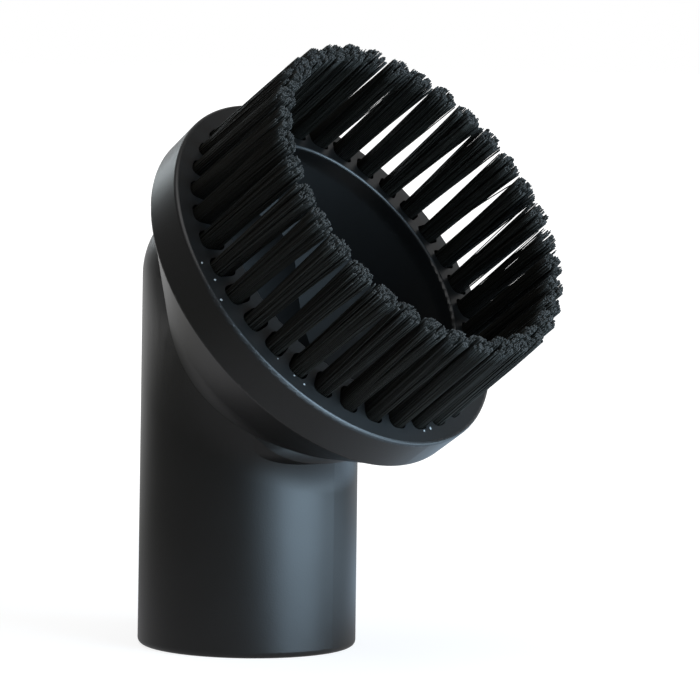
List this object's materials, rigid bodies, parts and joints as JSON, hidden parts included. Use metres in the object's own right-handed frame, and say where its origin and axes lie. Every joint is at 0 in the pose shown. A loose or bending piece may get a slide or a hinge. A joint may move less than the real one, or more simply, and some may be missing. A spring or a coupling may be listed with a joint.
{
  "type": "vacuum brush head",
  "caption": "Round dusting brush for a vacuum tube: a one-piece moulded elbow socket with a ring of stiff black bristle tufts round its suction mouth.",
  "frame": {"origin": "centre of the socket's open end, on the bore axis", "axes": "+Z along the bore axis into the socket and up, +X towards the side that the brush ring leans over"},
  "size_m": [0.0724, 0.0674, 0.1014],
  "materials": {
    "moulding": "satin",
    "bristle": "fine streaks along the bristles",
    "anchor_wire": "drawn"
  },
  "bodies": {
    "root": {"body": "moulding", "anchors": "anchor_wire", "tuft_01": "bristle", "tuft_02": "bristle", "tuft_03": "bristle", "tuft_04": "bristle", "tuft_05": "bristle", "tuft_06": "bristle", "tuft_07": "bristle", "tuft_08": "bristle", "tuft_09": "bristle", "tuft_10": "bristle", "tuft_11": "bristle", "tuft_12": "bristle", "tuft_13": "bristle", "tuft_14": "bristle", "tuft_15": "bristle", "tuft_16": "bristle", "tuft_17": "bristle", "tuft_18": "bristle", "tuft_19": "bristle", "tuft_20": "bristle", "tuft_21": "bristle", "tuft_22": "bristle", "tuft_23": "bristle", "tuft_24": "bristle", "tuft_25": "bristle", "tuft_26": "bristle", "tuft_27": "bristle", "tuft_28": "bristle", "tuft_29": "bristle", "tuft_30": "bristle", "tuft_31": "bristle", "tuft_32": "bristle", "tuft_33": "bristle", "tuft_34": "bristle", "tuft_35": "bristle"}
  },
  "joints": []
}
